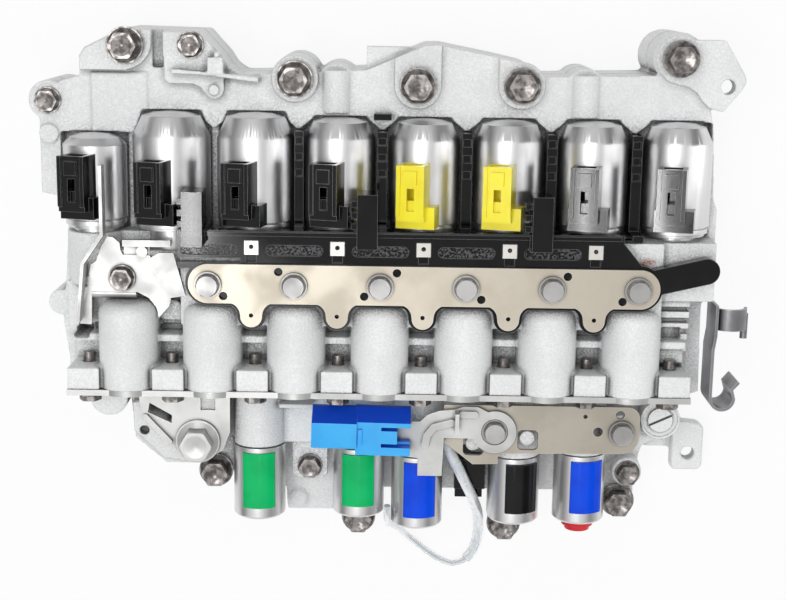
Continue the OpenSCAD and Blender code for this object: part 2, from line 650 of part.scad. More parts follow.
module sensor_bracket() {
    z0 = z_low_plate + plate_t;
    z1 = z0 + sheet_t;
    bolt_at = [43.1, low_bolt_at[0][1]];
    color([0.8, 0.79, 0.75]) translate([ride(bolt_at[0]), 0, 0]) {
        difference() {
            union() {
                slab(z0, z1) polygon([[2, -51.6], [12, -51.6], [15, -48.6], [20, -46.8], [26.4, -46.2],
                    [30, -44.9], [36, -45], [50, -52], [50, -60], [36, -58.6], [22, -58.4], [21.6, -70],
                    [11.4, -70], [11.2, -67.4], [2, -66]]);
                disc(bolt_at, 9, z0, z1);
            }
            disc(bolt_at, 5.6, z0 - 1, z1 + 1);
        }
        // raised beads, upright tab and the stepped foot
        chain([[14.2, -61.2], [15, -57.2], [17.8, -53.6], [25, -51.6]], 1.5,
            z0 + 0.4, z1 + 1.2);
        pill([29.5, -48], [34.6, -48], 1.4, z0 + 0.4, z1 + 1.2);
        box([26.4, -55, z0 + 0.4], [28, -46.4, z0 + 8]);
        box([11.4, -71, z0 - 3.9], [21.6, -69.4, z1 - 0.2]);
        box([11.4, -76.4, z0 - 3.9], [21.6, -70, z0 - 2.5]);
    }
}

// stamped spring clip on the right edge, with a rolled band and a hook
module pipe_clip() {
    z0 = sol_z - 6;
    z1 = acc_z - 1;
    hook_r = 5.4;
    clip_t = 1.2;
    color([0.7, 0.69, 0.66]) translate([ride(131), 0, 0]) {
        slab(z0, z1) polygon([[130.8, 0.6], [132, 0.6], [132, -12], [131.2, -18], [131.2, -38.2],
            [130, -38.2], [130, -18], [130.8, -12]]);
        // hook
        translate([135.4, -38.2, z0]) difference() {
            cylinder(r = hook_r, h = z1 - z0);
            translate([0, 0, -1]) cylinder(r = hook_r - clip_t, h = z1 - z0 + 2);
            translate([-6, 0, -1]) cube([12, 6, z1 - z0 + 2]);
        }
        slab(z0, z1) polygon([[139.6, -38.2], [140.8, -38.2], [139.8, -34.6], [142.4, -31.6],
            [141.4, -30.8], [138.4, -34.4]]);
        // band curved over a pipe that lies along Y, with a rolled end
        translate([138, -10.2, acc_z - 9]) difference() {
            ycyl(7, 9);
            translate([0, -1, 0]) ycyl(7 - clip_t, 12);
            translate([-9, -1, -9]) cube([18, 12, 9]);
        }
        translate([144.4, -14.4, acc_z - 9.6]) ycyl(1.5, 10.4);
    }
}

module bore_plug() {
    color([0.78, 0.77, 0.74]) translate([plug_at[0], plug_at[1], z_slab + 2]) difference() {
        union() {
            cylinder(r = 7.2, h = 5.4);
            cylinder(r = 5.1, h = 6.4);
        }
        translate([0, 0, 5.2]) rotate(25) translate([-6, -0.5, 0]) cube([12, 1, 4]);
    }
}

// linear solenoid i: can with a cone and a domed end, nose steps and sleeve
module linear_solenoid(i) {
    r = sol_r[i];
    length = sol_len[i];
    tip = r - sol_taper[i];
    color([0.8, 0.8, 0.79]) translate([sol_x[i], seat_y, sol_z]) rotate([-90, 0, 0]) rotate_extrude()
        polygon([[0, -sleeve_len], [sleeve_r - 1, -sleeve_len], [sleeve_r, 1 - sleeve_len],
            [sleeve_r, 0], [r - 1.6, 0], [r - 1.6, 1.2], [r - 0.5, 1.2], [r - 0.5, 3.4], [r - 1.2, 3.4],
            [r - 1.2, 4], [r, 4], [r, length - sol_cone[i]], [tip, length - 1.6],
            [tip * 0.6, length - 0.4], [1, length], [0, length]]);
}

// plug i: shroud open towards +Y on a wider foot, turned about the can axis
plug_gap = 4.6;
module solenoid_plug(i) {
    r = sol_r[i];
    w = plug_w;
    y0 = frame_y1 + plug_gap + (i == 0 ? 1.6 : 0);
    y1 = y0 + plug_len;
    foot = i == 0 ? 2 : 3.4;
    tone = (i == 4 || i == 5) ? [0.93, 0.83, 0.05] : [0.04, 0.04, 0.04];
    color(tone) translate([sol_x[i], 0, sol_z]) rotate([0, -plug_turn, 0]) difference() {
        union() {
            box([-w / 2, y0, r - 3], [w / 2, y1, r + plug_h]);
            // foot, wider on one side
            box([-w / 2 - 1, y0 - 3.4, r - 3], [w / 2 + foot, y0 + 5.4, r + plug_h * 0.62]);
            // rails and the raised square on top
            box([-w / 2, y0 + 2, r + plug_h - eps], [-w / 2 + 1.6, y1, r + plug_h + 0.9]);
            box([w / 2 - 1.6, y0 + 2, r + plug_h - eps], [w / 2, y1, r + plug_h + 0.9]);
            box([-2.6, y0 + 14.5, r + plug_h - eps], [2.6, y0 + 20, r + plug_h + 1.2]);
        }
        // socket and the window in its roof
        box([-w / 2 + plug_wall, y1 - 14, r + plug_wall],
            [w / 2 - plug_wall, y1 + 1, r + plug_h - plug_wall]);
        box([-1.5, y0 + 4, r + plug_h - plug_wall - 0.2], [1.5, y0 + 13, r + plug_h + 2]);
        translate([0, y0 - 10, 0]) ycyl(r + clear, plug_len + 20);
    }
}

// shift solenoid i: can with a flat window on top and a sleeve into the casting
module shift_solenoid(i) {
    color([0.74, 0.73, 0.7]) translate([shift_x[i], shift_y[i], shift_z]) difference() {
        rotate([90, 0, 0]) rotate_extrude() polygon([[0, -16], [shift_sleeve_r, -16],
            [shift_sleeve_r, 0], [shift_r, 0],
            [shift_r, can_l[i] - 1], [shift_r - 1, can_l[i]], [0, can_l[i]]]);
        insert_room(i, 0, 1);
    }
}

// window of can i, shrunk by s all round, with its roof above the can
insert_off = [0.4, 0, 1, 2.6, 2];
module insert_room(i, s, roof) {
    box([insert_off[i] - insert_w / 2 + s, 5 - can_l[i] + s, shift_r - 5 + s],
        [insert_off[i] + insert_w / 2 - s, -2 - s, shift_r + roof]);
}

// coloured insert i: moulded block in the window of the can
module shift_insert(i) {
    translate([shift_x[i], shift_y[i], shift_z]) intersection() {
        insert_room(i, clear, 0.6);
        rotate([90, 0, 0]) translate([0, 0, -1]) cylinder(r = shift_r + 0.6, h = can_l[i] + 2);
    }
}

module red_end_cap() {
    color([0.8, 0.08, 0.1]) translate([shift_x[4], shift_y[4] - can_l[4], shift_z]) rotate([90, 0, 0]) {
        cylinder(r = 6.8, h = 3);
        cylinder(r = 5.4, h = 5);
    }
}

// block along X from x0 to x1 with one slanted side
module slant_block(x0, x1, y0, y1, h) {
    translate([x0, 0, 0]) rotate([90, 0, 90]) linear_extrude(x1 - x0)
        polygon([[y0, 0], [y1, 0], [y1, 2.4], [y1 - 5, h], [y0, h]]);
}

// blue connector: mouth towards -X, two fingers round the bracket on the other end
module sensor_connector() {
    z0 = z_low_plate + plate_t + sheet_t + 0.2;
    color([0.13, 0.42, 0.82]) translate([along(-12), -53.8, z0]) rotate(-1) difference() {
        union() {
            slant_block(-20.6, -2, -6.6, 9, 11);
            slant_block(-2.5, 20, -9.6, 9.4, 9.4);
            box([-1.6, -5, 9], [0.2, 1.6, 10.2]);
        }
        box([-21, -4.6, 2], [-8, 3.4, 8.8]);
        for (y = [-6, 1]) box([8, y, 4], [21, y + 1.4, 10]);
        box([14.6, -5, -1], [21, 1.4, 10]);
    }
}

module oil_sensor() {
    color([0.05, 0.05, 0.05]) translate([ride(32), 0, 0]) {
        box([27.6, -88, 16.2], [41, -75, z_up + 5]);
        box([28.4, -94.6, 16.2], [40.4, -87, 20]);
        box([29, -76, z_up + 0.4], [35, wing_y - 0.4, z_up + 4]);
    }
}

// sensor lead: loops out over the edge and lies on the table; points chosen by eye
lead_pts = [[20.4, -58.6, 43.2], [22.8, -62.6, 43.4], [25.4, -67.4, 43.2], [28.6, -74, 41.6],
    [32, -82, 37.4], [35.2, -90, 31], [37.6, -97.5, 22.5], [39.2, -104.5, 14], [39.8, -111.5, 7.8],
    [39.8, -118, 4.2], [38.4, -124.5, 3], [35, -130, 2.6], [30, -132.6, 2.4], [24.5, -131.5, 2.2],
    [18.5, -128, 2.2], [12.5, -123, 3], [7.5, -117.5, 6.5], [3.8, -112, 13], [1, -107.5, 21],
    [-0.6, -103.5, 29], [-1.1, -99.5, 35.5], [-1.2, -95.5, 39], [-1.2, -92, 40]];
lead_split = 12;
lead_r_wide = 2.3;
lead_r = 1.4;
lead_sides = 8;
function unit(v) = v / norm(v);
function lead_dir(i) = unit(lead_pts[min(i + 1, len(lead_pts) - 1)] - lead_pts[max(i - 1, 0)]);
function lead_ring(i) = let (t = lead_dir(i), n = unit(cross(t, [0, 0, 1])), b = cross(n, t),
    r = i < lead_split ? lead_r_wide : lead_r)
    [for (k = [0:lead_sides - 1]) let (a = 360 * k / lead_sides) lead_pts[i] + r * (cos(a) * n + sin(a) * b)];

// closed tube over rings of m points each
module tube(rings, m) {
    last = len(rings) - 1;
    polyhedron(points = [for (q = rings) for (p = q) p],
        faces = concat([[for (k = [0:m - 1]) k]], [[for (k = [0:m - 1]) last * m + m - 1 - k]],
            [for (i = [0:last - 1]) for (k = [0:m - 1]) let (a = i * m + k, b = i * m + (k + 1) % m)
                each [[a, a + m, b], [b, a + m, b + m]]]));
}

module sensor_lead() {
    color([0.85, 0.87, 0.88]) translate([ride(lead_pts[0][0]), 0, 0])
        tube([for (i = [0:len(lead_pts) - 1]) lead_ring(i)], lead_sides);
}

module accumulator_piston(i) {
    color([0.7, 0.7, 0.68]) translate([acc_x[i], bore_end - 0.5, acc_z]) rotate([90, 0, 0]) difference() {
        cylinder(r = acc_r - piston_gap, h = piston_len);
        translate([0, 0, 3]) cylinder(r = acc_r - 1.6, h = piston_len);
    }
}

// spring: helix along Y between the piston's floor and the cover
spring_turns = 5;
spring_steps = 9;
spring_sides = 5;
module accumulator_spring(i) {
    coil_r = acc_r - 2.8;
    y1 = bore_end - 3.5 - spring_wire - clear;
    y0 = cover_y + spring_wire + clear;
    last = spring_turns * spring_steps;
    color([0.6, 0.6, 0.6]) translate([acc_x[i], 0, acc_z]) tube([for (s = [0:last])
        let (a = 360 * s / spring_steps, y = y0 + (y1 - y0 - 2 * clear) * s / last)
        [for (k = [0:spring_sides - 1]) let (b = 360 * k / spring_sides)
            [(coil_r + spring_wire * cos(b)) * cos(a), y + spring_wire * sin(b),
                (coil_r + spring_wire * cos(b)) * sin(a)]]], spring_sides);
}

lower_valve_body();
separator_plate();
upper_valve_body();
accumulator_cover();
case_bolts();
body_bolts();
plate_bolts();
pivot_bolt();
retainer_plate();
harness_frame();
contact_tabs();
lower_plate();
left_clamp();
latch_plate();
sensor_bracket();
pipe_clip();
bore_plug();
red_end_cap();
sensor_connector();
oil_sensor();
sensor_lead();
for (i = [0:7]) linear_solenoid(i);
for (i = [0:7]) solenoid_plug(i);
for (i = [0:4]) shift_solenoid(i);
color([0.05, 0.5, 0.2]) for (i = GREEN) shift_insert(i);  // shift_inserts_green
color([0.05, 0.25, 0.75]) for (i = BLUE) shift_insert(i);  // shift_inserts_blue
color([0.05, 0.05, 0.05]) for (i = BLACK) shift_insert(i);  // shift_inserts_black
for (i = [0:6]) accumulator_piston(i);
for (i = [0:6]) accumulator_spring(i);
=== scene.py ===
# %% [markdown]
# # A transmission valve body, dressed for its portrait
# The solids of the part are finished before this lesson starts. Here they get their looks: cast skins
# with soft edges, turned and stamped metal, moulded plastic, a translucent lead, light and a camera.
# The solids are loaded as a fixed frame. They could be copied and moved about, but then the looks and
# the construction would drift apart, so nothing here moves or resizes them.

# %% Load the frame
import json
import math

import bpy
import numpy as np
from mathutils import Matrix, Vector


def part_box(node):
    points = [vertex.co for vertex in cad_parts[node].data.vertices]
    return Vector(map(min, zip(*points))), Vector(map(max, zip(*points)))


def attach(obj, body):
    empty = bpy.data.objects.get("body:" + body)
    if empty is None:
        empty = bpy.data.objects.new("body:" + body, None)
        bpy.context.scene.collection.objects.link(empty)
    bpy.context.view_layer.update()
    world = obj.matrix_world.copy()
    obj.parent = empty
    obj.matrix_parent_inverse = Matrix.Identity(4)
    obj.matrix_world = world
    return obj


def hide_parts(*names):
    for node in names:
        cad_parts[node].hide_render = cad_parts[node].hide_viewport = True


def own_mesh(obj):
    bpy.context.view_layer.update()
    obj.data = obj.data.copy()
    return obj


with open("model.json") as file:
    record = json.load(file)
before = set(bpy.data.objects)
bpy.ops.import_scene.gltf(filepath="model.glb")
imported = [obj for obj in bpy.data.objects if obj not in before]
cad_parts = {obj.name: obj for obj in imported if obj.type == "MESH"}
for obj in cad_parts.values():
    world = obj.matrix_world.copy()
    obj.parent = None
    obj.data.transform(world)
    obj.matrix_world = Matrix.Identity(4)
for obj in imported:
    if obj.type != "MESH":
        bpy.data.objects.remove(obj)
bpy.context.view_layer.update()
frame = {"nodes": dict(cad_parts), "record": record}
nodes = frame["nodes"]
MM = 0.001

# %% [markdown]
# ## The camera
# The photograph looks almost straight down, from a little above the solenoid side, with the rows
# falling slightly to the right. The order ZYX turns the camera about its own line of sight first and
# tilts it afterwards, so the two angles can be set without each other.

# %% Camera
FRAME_W = 786
FOCAL_PX = 1500
CAMERA_AT = (0, 0.1272, 0.6486)
CAMERA_TILT = -12
CAMERA_ROLL = 0.87
camera_data = bpy.data.cameras.new("camera")
camera_data.sensor_width = 36
camera_data.lens = camera_data.sensor_width * FOCAL_PX / FRAME_W
camera = bpy.data.objects.new("camera", camera_data)
camera.location = CAMERA_AT
camera.rotation_mode = "ZYX"
camera.rotation_euler = (math.radians(CAMERA_TILT), 0, math.radians(CAMERA_ROLL))
bpy.context.scene.collection.objects.link(camera)
bpy.context.scene.camera = camera
bpy.context.scene.view_settings.view_transform = "Standard"
print("camera lens", round(camera_data.lens, 1), "mm")

# %% [markdown]
# ## Surfaces on a grid
# Most new pieces are a profile carried along a path: a wire is a circle carried along a helix, a
# sleeve is a circle carried along a curve. One function makes the grid of points as whole arrays, and
# one puts any such grid into a mesh, with closed ends.


# %% Grid helpers
def grid_object(name, points, capped=True):
    """Mesh over points[rows, columns, 3]: columns close on themselves, rows don't, and the two end
    rows are closed by one face each."""
    rows, cols = points.shape[:2]
    index = np.arange(rows * cols).reshape(rows, cols)
    ahead = np.roll(index, -1, axis=1)
    quads = np.stack([index[:-1], ahead[:-1], ahead[1:], index[1:]], axis=-1).reshape(-1, 4)
    faces = quads.tolist()
    if capped:
        faces += [index[0, ::-1].tolist(), index[-1].tolist()]
    mesh = bpy.data.meshes.new(name)
    mesh.from_pydata(points.reshape(-1, 3).tolist(), [], faces)
    mesh.polygons.foreach_set("use_smooth", np.arange(len(faces)) < len(quads))
    mesh.update()
    made = bpy.data.objects.new(name, mesh)
    bpy.context.scene.collection.objects.link(made)
    return made


def tube_points(path, radius, sides):
    """Circle of that radius carried along the path: at each point the ring lies across the direction
    of travel, turned so that its first spoke is level. radius is one number or one for each point."""
    along = np.gradient(path, axis=0)
    along /= np.linalg.norm(along, axis=1, keepdims=True)
    level = np.cross(along, [0, 0, 1.0])
    level /= np.linalg.norm(level, axis=1, keepdims=True)
    upright = np.cross(level, along)
    turn = np.linspace(0, 2 * np.pi, sides, endpoint=False)[None, :, None]
    spoke = np.cos(turn) * level[:, None] + np.sin(turn) * upright[:, None]
    return path[:, None] + np.broadcast_to(radius, len(path))[:, None, None] * spoke


def smooth_path(points, steps):
    """Curve through all the points with an even bend, by Catmull and Rom's blend of each four in a row,
    cut into that many steps between two points."""
    p = np.vstack([2 * points[0] - points[1], points, 2 * points[-1] - points[-2]])
    t = np.linspace(0, 1, steps, endpoint=False)[None, :, None]
    a, b, c, d = (p[i:len(p) - 3 + i][:, None] for i in range(4))
    curve = 0.5 * (2 * b + (c - a) * t + (2 * a - 5 * b + 4 * c - d) * t**2 + (3 * b - a - 3 * c + d) * t**3)
    return np.vstack([curve.reshape(-1, 3), points[-1:]])


def path_length(path):
    """Sum of the straight steps along the path."""
    return float(np.linalg.norm(np.diff(path, axis=0), axis=1).sum())


# %% [markdown]
# ## The sensor lead
# A clear sleeve with a wire in it leaves the bracket, loops out over the edge of the castings, lies on
# the table and comes back up between two of the shift solenoids. It could be a simulated rope, but its
# whole route shows, so it follows listed points, the same ones that its solid follows, apart from
# the outermost: a smooth curve swings a little past its points, so that one is drawn in by 0.1 mm.

# %% Lead
LEAD_POINTS = MM * np.array([
    (20.4, -58.6, 43.2), (22.8, -62.6, 43.4), (25.4, -67.4, 43.2), (28.6, -74, 41.6), (32, -82, 37.4),
    (35.2, -90, 31), (37.6, -97.5, 22.5), (39.2, -104.5, 14), (39.8, -111.5, 7.8), (39.8, -118, 4.2),
    (38.4, -124.5, 3), (35, -130, 2.6), (30, -132.5, 2.4), (24.5, -131.5, 2.2), (18.5, -128, 2.2),
    (12.5, -123, 3), (7.5, -117.5, 6.5), (3.8, -112, 13), (1, -107.5, 21), (-0.6, -103.5, 29),
    (-1.1, -99.5, 35.5), (-1.2, -95.5, 39), (-1.2, -92, 40)])
LEAD_R = 1.4 * MM
SLEEVE_R = 2.3 * MM
WIRE_R = 0.5 * MM
SLEEVE_END = 11
lead_path = smooth_path(LEAD_POINTS, 8)
sleeve_path = lead_path[:8 * SLEEVE_END + 1]
lead = grid_object("sensor_lead_tube", tube_points(lead_path, LEAD_R, 16))
sleeve = grid_object("sensor_lead_sleeve", tube_points(sleeve_path, SLEEVE_R, 20))
wire = grid_object("sensor_lead_wire", tube_points(lead_path[2:-2], WIRE_R, 8))
for piece in (lead, sleeve, wire):
    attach(piece, "valve_body")
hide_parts("sensor_lead")
print("lead", round(path_length(lead_path), 4), "m")

# %% [markdown]
# ## Floor, sky and lamps
# The part lies on a white table in a bright room. The floor is a plain diffuse sheet that also shines a
# little of its own towards the camera and into reflections, which keeps it white and leaves the shadow.
# The sky has bright and dark bands from left to right, like a room with windows, because turned metal
# shows them as bands along each can. It is dimmer behind the solenoid side, so slopes that face that way
# are darker. A broad panel gives the wide white band along the cans, a tall lamp at the side gives the
# second one, a long lamp whitens the plates, and two narrow panes give the glints on the black plugs and
# posts.


# %% Node helper
def add(tree, kind, inputs=(), **settings):
    """Adds a node, sets its properties, then its inputs: a socket is linked, anything else is a value."""
    made = tree.nodes.new(kind)
    for key, value in settings.items():
        setattr(made, key, value)
    for key, value in dict(inputs).items():
        if isinstance(value, bpy.types.NodeSocket):
            tree.links.new(value, made.inputs[key])
        else:
            made.inputs[key].default_value = value
    return made


# %% Floor
FLOOR_HALF = 4
FLOOR_GLOW = 0.86
corners = FLOOR_HALF * np.array([(-1, -1, 0), (1, -1, 0), (1, 1, 0), (-1, 1, 0)])
floor_mesh = bpy.data.meshes.new("floor")
floor_mesh.from_pydata(corners.tolist(), [], [(0, 1, 2, 3)])
floor = bpy.data.objects.new("floor", floor_mesh)
bpy.context.scene.collection.objects.link(floor)
white = bpy.data.materials.new("white_floor")
white.use_nodes = True
tree = white.node_tree
tree.nodes.clear()
rays = add(tree, "ShaderNodeLightPath")
seen = add(tree, "ShaderNodeMath", {0: rays.outputs["Is Camera Ray"], 1: rays.outputs["Is Glossy Ray"]})
seen = add(tree, "ShaderNodeMath", {0: seen.outputs[0], 1: rays.outputs["Is Transmission Ray"]},
           use_clamp=True)
share = add(tree, "ShaderNodeMath", {0: seen.outputs[0], 1: FLOOR_GLOW}, operation="MULTIPLY")
sheet = add(tree, "ShaderNodeBsdfDiffuse", {"Color": (0.93, 0.93, 0.93, 1)})
glow = add(tree, "ShaderNodeEmission", {"Color": (1, 1, 1, 1), "Strength": 1})
both = add(tree, "ShaderNodeMixShader", {0: share.outputs[0], 1: sheet.outputs[0], 2: glow.outputs[0]})
add(tree, "ShaderNodeOutputMaterial", {"Surface": both.outputs[0]})
floor_mesh.materials.append(white)
print("floor", 2 * FLOOR_HALF, "m square")

# %% Sky
SKY_BANDS = ((0.0, 0.40), (0.035, 0.18), (0.08, 0.18), (0.13, 0.62), (0.35, 0.70), (0.55, 0.68), (0.75, 0.58),
             (0.83, 0.16), (0.92, 0.16), (0.96, 0.80), (1.0, 0.30))
world = bpy.data.worlds.new("sky")
world.use_nodes = True
bpy.context.scene.world = world
tree = world.node_tree
tree.nodes.clear()
place = add(tree, "ShaderNodeTexCoord")
parts = add(tree, "ShaderNodeSeparateXYZ", {0: place.outputs["Generated"]})
across = add(tree, "ShaderNodeMapRange", {"Value": parts.outputs["X"], "From Min": -1.0})
bands = add(tree, "ShaderNodeValToRGB", {0: across.outputs[0]})
stops = bands.color_ramp.elements
while len(stops) < len(SKY_BANDS):
    stops.new(0.5)
for stop, (where, value) in zip(stops, SKY_BANDS):
    stop.position = where
    stop.color = (value, value, value, 1)
back = add(tree, "ShaderNodeMapRange", {"Value": parts.outputs["Y"], "From Min": -1.0, "To Min": 1.32,
                                        "To Max": 0.88})
height = add(tree, "ShaderNodeMapRange", {"Value": parts.outputs["Z"], "From Max": 0.5, "To Min": 0.5})
level = add(tree, "ShaderNodeMath", {0: back.outputs[0], 1: height.outputs[0]}, operation="MULTIPLY")
light = add(tree, "ShaderNodeBackground", {"Color": bands.outputs[0], "Strength": level.outputs[0]})
add(tree, "ShaderNodeOutputWorld", {"Surface": light.outputs[0]})
print("sky of", len(SKY_BANDS), "bands")


# %% Lamps
def lamp(name, place, size, watts, turned=True):
    """Rectangular lamp at that place, turned to face the middle of the part or else facing straight down."""
    data = bpy.data.lights.new(name, "AREA")
    data.shape = "RECTANGLE"
    data.size, data.size_y = size
    data.energy = watts
    made = bpy.data.objects.new(name, data)
    made.location = place
    if turned:
        made.rotation_mode = "QUATERNION"
        made.rotation_quaternion = made.location.to_track_quat("Z", "Y")
    bpy.context.scene.collection.objects.link(made)


lamp("panel", (-0.22, 0.15, 0.95), (0.6, 0.40), 2.5)
lamp("key_lamp", (-0.13, -0.22, 1.0), (0.46, 0.12), 0.48)
lamp("wide_pane", (-0.206, -0.1, 1.0), (0.022, 0.09), 0.22, turned=False)
lamp("thin_pane", (-0.279, -0.1, 1.0), (0.008, 0.09), 0.08, turned=False)
lamp("side_lamp", (0.75, 0.05, 0.45), (0.16, 0.9), 1.1)
print(len(bpy.data.lights), "lamps")

# %% [markdown]
# ## Effects that several finishes share
# Grain, blotches, brush lines, paler edges (wear and a painted glint) and painted shade in corners turn up
# in many finishes. Each is built once as a node group with named inputs, and every material sets its own
# values. They read object coordinates: the pieces sit at the origin, so these are places on the part, in
# metres. Painted shade comes in two kinds: in the corners between any two pieces, and only in the corners
# of a piece itself.


# %% Group helper
def new_group(name, inputs, output):
    """Empty group with named number inputs, their first values, and one number output.
    Returns the tree, its input sockets by name and the output's socket."""
    group = bpy.data.node_groups.new(name, "ShaderNodeTree")
    for key, value in inputs.items():
        group.interface.new_socket(key, in_out="INPUT", socket_type="NodeSocketFloat").default_value = value
    group.interface.new_socket(output, in_out="OUTPUT", socket_type="NodeSocketFloat")
    start = group.nodes.new("NodeGroupInput")
    end = group.nodes.new("NodeGroupOutput")
    return group, start.outputs, end.inputs[output]


# %% Speckle
speckle_inputs = {"Scale": 900.0, "Detail": 3.0, "Low": 0.35, "High": 0.65}
group, given, result = new_group("speckle", speckle_inputs, "Mask")
place = add(group, "ShaderNodeTexCoord")
noise = add(group, "ShaderNodeTexNoise", {"Vector": place.outputs["Object"], "Scale": given["Scale"],
                                          "Detail": given["Detail"]})
mask = add(group, "ShaderNodeMapRange", {"Value": noise.outputs["Fac"], "From Min": given["Low"],
                                         "From Max": given["High"]}, interpolation_type="SMOOTHSTEP")
group.links.new(mask.outputs[0], result)

# %% Brush lines
group, given, result = new_group("brush_lines", {"Across": 2200.0, "Along": 40.0, "Up": 40.0}, "Mask")
place = add(group, "ShaderNodeTexCoord")
stretch = add(group, "ShaderNodeCombineXYZ", {"X": given["Along"], "Y": given["Across"], "Z": given["Up"]})
moved = add(group, "ShaderNodeVectorMath", {0: place.outputs["Object"], 1: stretch.outputs[0]},
            operation="MULTIPLY")
noise = add(group, "ShaderNodeTexNoise", {"Vector": moved.outputs[0], "Scale": 1.0, "Detail": 3.0})
group.links.new(noise.outputs["Fac"], result)

# %% Wear and painted glint on edges
# Rounded edges: finishes paint them paler, as wear with a painted glint.
group, given, result = new_group("wear_and_glint_edges", {"Radius": 0.0006, "Low": 0.02, "High": 0.2}, "Mask")
soft = add(group, "ShaderNodeBevel", {"Radius": given["Radius"]}, samples=6)
true = add(group, "ShaderNodeNewGeometry")
turn = add(group, "ShaderNodeVectorMath", {0: soft.outputs[0], 1: true.outputs["Normal"]},
           operation="DOT_PRODUCT")
lost = add(group, "ShaderNodeMath", {0: 1.0, 1: turn.outputs["Value"]}, operation="SUBTRACT")
mask = add(group, "ShaderNodeMapRange", {"Value": lost.outputs[0], "From Min": given["Low"],
                                         "From Max": given["High"]})
group.links.new(mask.outputs[0], result)

# %% Painted corner shade
# Ambient occlusion: finishes paint their colour darker where it is low, a painted shade in corners and gaps.
for title, alone in (("painted_corner_shade", False), ("painted_own_corner_shade", True)):
    group, given, result = new_group(title, {"Distance": 0.006, "Low": 0.35, "High": 0.9}, "Mask")
    open_sky = add(group, "ShaderNodeAmbientOcclusion", {"Distance": given["Distance"]}, samples=6,
                   only_local=alone)
    mask = add(group, "ShaderNodeMapRange", {"Value": open_sky.outputs["AO"], "From Min": given["High"],
                                             "From Max": given["Low"]}, interpolation_type="SMOOTHSTEP")
    group.links.new(mask.outputs[0], result)
print([g.name for g in bpy.data.node_groups if g.bl_idname == "ShaderNodeTree"])


# %% Material helper
def effect(tree, name, **values):
    """Places the named group in a material with its own values and returns its mask."""
    made = add(tree, "ShaderNodeGroup", node_tree=bpy.data.node_groups[name])
    for key, value in values.items():
        made.inputs[key].default_value = value
    return made.outputs[0]


def blend(tree, share, first, second):
    """Colour between two, by a mask: each is a socket or three numbers."""
    mix = tree.nodes.new("ShaderNodeMix")
    mix.data_type = "RGBA"
    tree.links.new(share, mix.inputs["Factor"])
    for socket, value in ((mix.inputs[6], first), (mix.inputs[7], second)):
        if isinstance(value, bpy.types.NodeSocket):
            tree.links.new(value, socket)
        else:
            socket.default_value = (*value, 1)
    return mix.outputs[2]


def spread(tree, share, low, high):
    """Number that runs from low to high with a mask."""
    return add(tree, "ShaderNodeMapRange", {"Value": share, "To Min": low, "To Max": high}).outputs[0]


def scaled(tree, share, factor):
    """A mask made weaker or stronger by one factor."""
    return add(tree, "ShaderNodeMath", {0: share, 1: factor}, operation="MULTIPLY").outputs[0]


def relief(tree, height, strength, depth):
    """Normal bent by a height mask, at most that deep in metres."""
    return add(tree, "ShaderNodeBump", {"Height": height, "Strength": strength, "Distance": depth}).outputs[0]


def inside_box(tree, low, high):
    """Mask that is one between two corners of a box in object coordinates: the least of the six distances
    to its sides, cut off just above zero."""
    place = add(tree, "ShaderNodeTexCoord").outputs["Object"]
    above = add(tree, "ShaderNodeVectorMath", {0: place, 1: low}, operation="SUBTRACT").outputs[0]
    below = add(tree, "ShaderNodeVectorMath", {0: high, 1: place}, operation="SUBTRACT").outputs[0]
    least = add(tree, "ShaderNodeVectorMath", {0: above, 1: below}, operation="MINIMUM").outputs[0]
    side = add(tree, "ShaderNodeSeparateXYZ", {0: least}).outputs
    least = add(tree, "ShaderNodeMath", {0: side[0], 1: side[1]}, operation="MINIMUM").outputs[0]
    least = add(tree, "ShaderNodeMath", {0: least, 1: side[2]}, operation="MINIMUM").outputs[0]
    return add(tree, "ShaderNodeMath", {0: least, 1: 0.0}, operation="GREATER_THAN").outputs[0]


def near_point(tree, centre, reach):
    """Mask that fades from one at a point to zero: the distance is measured in reaches along each axis."""
    place = add(tree, "ShaderNodeTexCoord").outputs["Object"]
    away = add(tree, "ShaderNodeVectorMath", {0: place, 1: centre}, operation="SUBTRACT").outputs[0]
    away = add(tree, "ShaderNodeVectorMath", {0: away, 1: reach}, operation="DIVIDE").outputs[0]
    far = add(tree, "ShaderNodeVectorMath", {0: away}, operation="LENGTH").outputs["Value"]
    return add(tree, "ShaderNodeMapRange", {"Value": far, "From Min": 1.0, "From Max": 0.3}).outputs[0]


def start_material(name, **sockets):
    """New material with a Principled shader whose named sockets hold plain values.
    Returns the material, its tree and the shader."""
    material = bpy.data.materials.new(name)
    material.use_nodes = True
    tree = material.node_tree
    shader = tree.nodes["Principled BSDF"]
    for key, value in sockets.items():
        shader.inputs[key.replace("_", " ")].default_value = value
    return material, tree, shader


def wire_up(tree, shader, colour, roughness, normal):
    """Links the three sockets that change over every surface."""
    tree.links.new(colour, shader.inputs["Base Color"])
    tree.links.new(roughness, shader.inputs["Roughness"])
    tree.links.new(normal, shader.inputs["Normal"])


# %% [markdown]
# ## Finishes
# Cast aluminium is pale and sandy, greyer in blotches, with painted shade in its hollows and corners and a
# rust spot. Turned cans show fine lines round them. Bolts are dark and paler on their edges, worn and with
# a painted glint. Sheet and plate are rolled metal with painted shade in their corners. The plastics are
# glossy with a fine grain. Each finish is a short function of its own.


# %% Cast aluminium
RUST_AT = (0.1013, 0.0190, 0.0602)
RUST_REACH = (0.0045, 0.0020, 0.0060)


